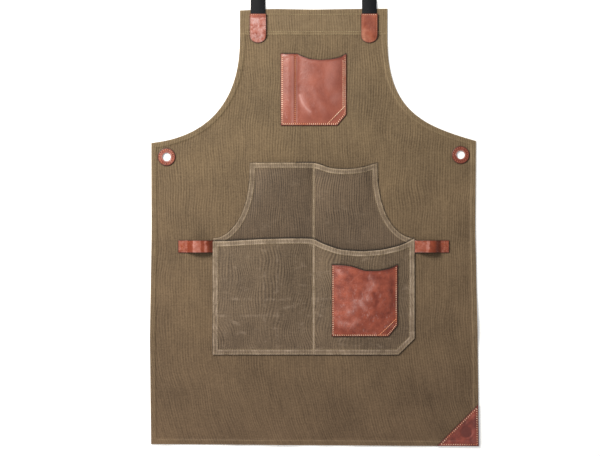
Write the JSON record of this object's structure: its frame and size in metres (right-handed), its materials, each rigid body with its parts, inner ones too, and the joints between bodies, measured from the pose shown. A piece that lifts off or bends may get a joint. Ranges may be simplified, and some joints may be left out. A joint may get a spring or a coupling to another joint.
{
  "type": "waxed canvas work apron",
  "caption": "Waxed canvas bib apron lying flat, with canvas pouch pockets, leather pockets, leather trim and a webbing neck strap.",
  "frame": {"origin": "middle of the apron's plan, neck strap included, on the surface that it lies on", "axes": "+X to the right of the apron seen from its front, +Y from hem to bib, +Z off the surface, out of the apron's front"},
  "size_m": [0.6578, 1.0898, 0.0215],
  "materials": {
    "canvas": "waxed canvas, olive brown",
    "pocket_canvas": "waxed canvas, greyer brown",
    "leather": "pull-up leather, semi-gloss, reddish brown",
    "webbing": "woven webbing, black"
  },
  "bodies": {
    "root": {"body_panel": "canvas", "upper_pouch": "pocket_canvas", "lower_pouch": "pocket_canvas", "chest_pocket": "leather", "phone_pocket": "leather", "left_strap_tab": "leather", "right_strap_tab": "leather", "left_side_loop": "leather", "right_side_loop": "leather", "left_eyelet": "leather", "right_eyelet": "leather", "corner_patch": "leather", "neck_strap": "webbing"}
  },
  "joints": []
}
